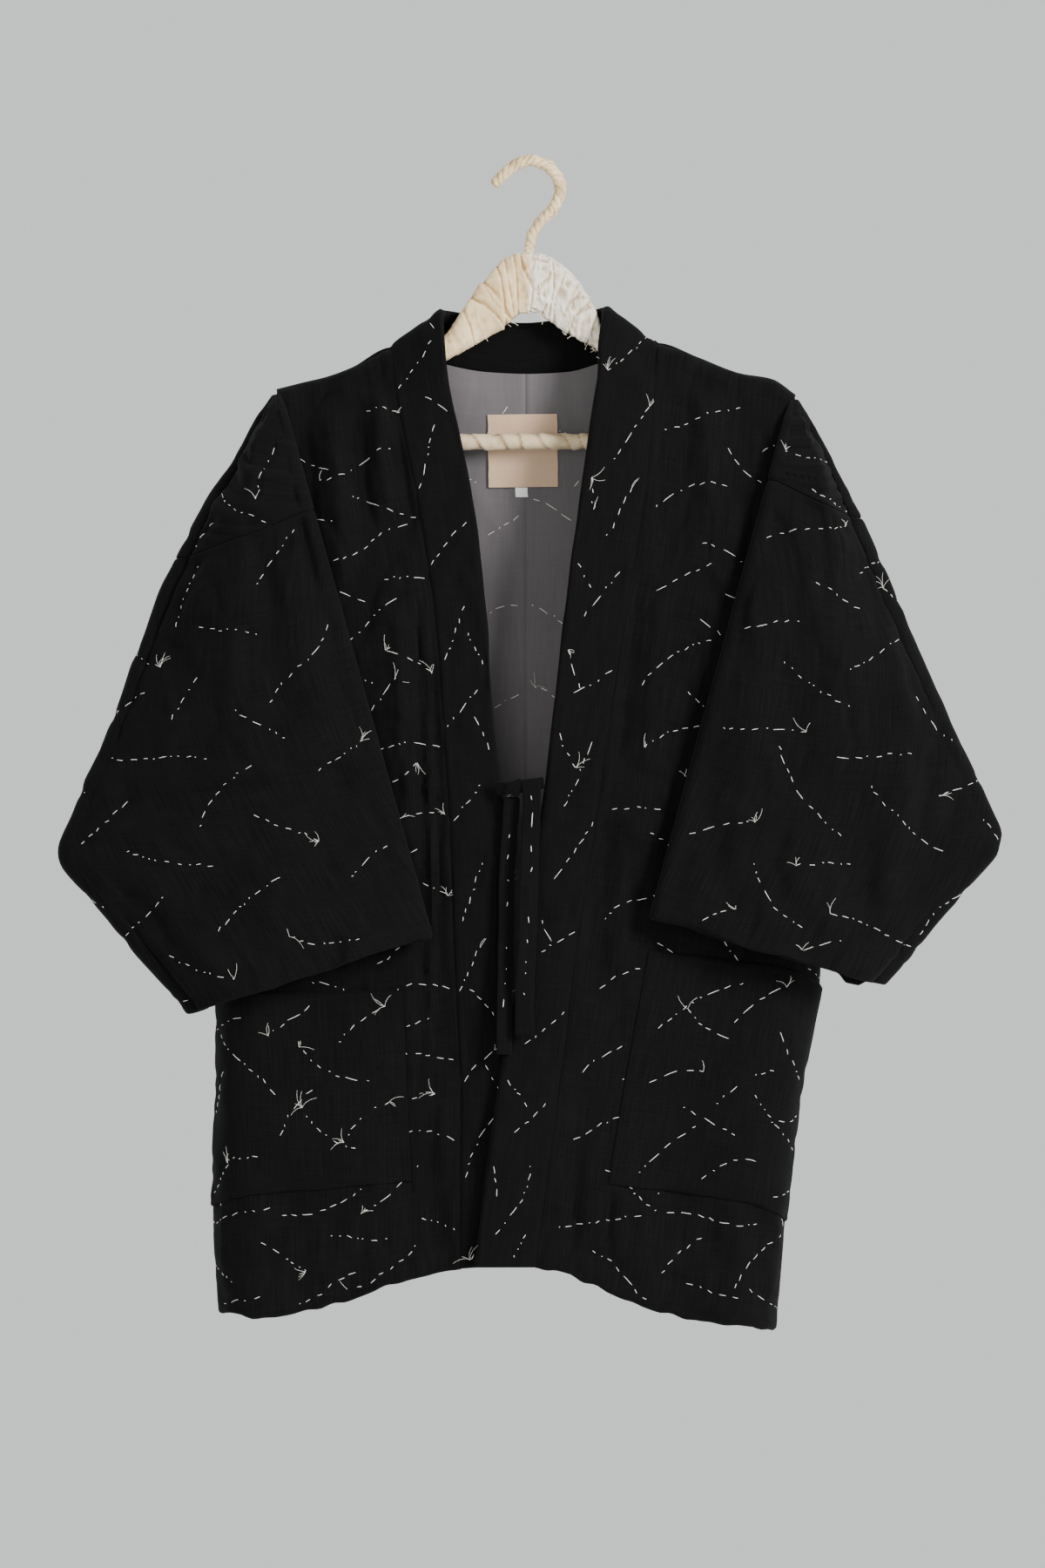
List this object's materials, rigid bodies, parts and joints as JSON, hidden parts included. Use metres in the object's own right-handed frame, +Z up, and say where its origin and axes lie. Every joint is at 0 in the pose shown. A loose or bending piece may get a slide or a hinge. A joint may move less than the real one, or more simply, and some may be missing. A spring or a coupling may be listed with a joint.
{
  "type": "hanten on a hanger",
  "caption": "Padded cotton hanten, a short quilted jacket with a collar band, patch pockets and a tie, hanging open-fronted on its cloth-wrapped hanger.",
  "frame": {"origin": "top inside of the hook, where it bears on a rail or peg", "axes": "+Z up, +X to the viewer's right facing the front, the open front faces -Y"},
  "size_m": [0.7525, 0.1326, 0.9469],
  "materials": {
    "ink_cotton": "matt woven cotton",
    "grey_lining": "matt plain weave",
    "label_cloth": "matt woven label, blank",
    "white_tab": "matt woven tab, blank",
    "cream_wrap": "matt wrapped cotton"
  },
  "bodies": {
    "root": {"front_l": "ink_cotton", "front_r": "ink_cotton", "back_l": "ink_cotton", "back_r": "ink_cotton", "shoulder_l": "ink_cotton", "shoulder_r": "ink_cotton", "sleeve_l": "ink_cotton", "sleeve_r": "ink_cotton", "collar": "ink_cotton", "pocket_l": "ink_cotton", "pocket_r": "ink_cotton", "tie_1": "ink_cotton", "tie_2": "ink_cotton", "tie_knot": "ink_cotton", "lining_l": "grey_lining", "lining_r": "grey_lining", "label": "label_cloth", "size_tab": "white_tab", "hanger_arms": "cream_wrap", "hanger_bar": "cream_wrap", "hanger_hook": "cream_wrap"}
  },
  "joints": []
}
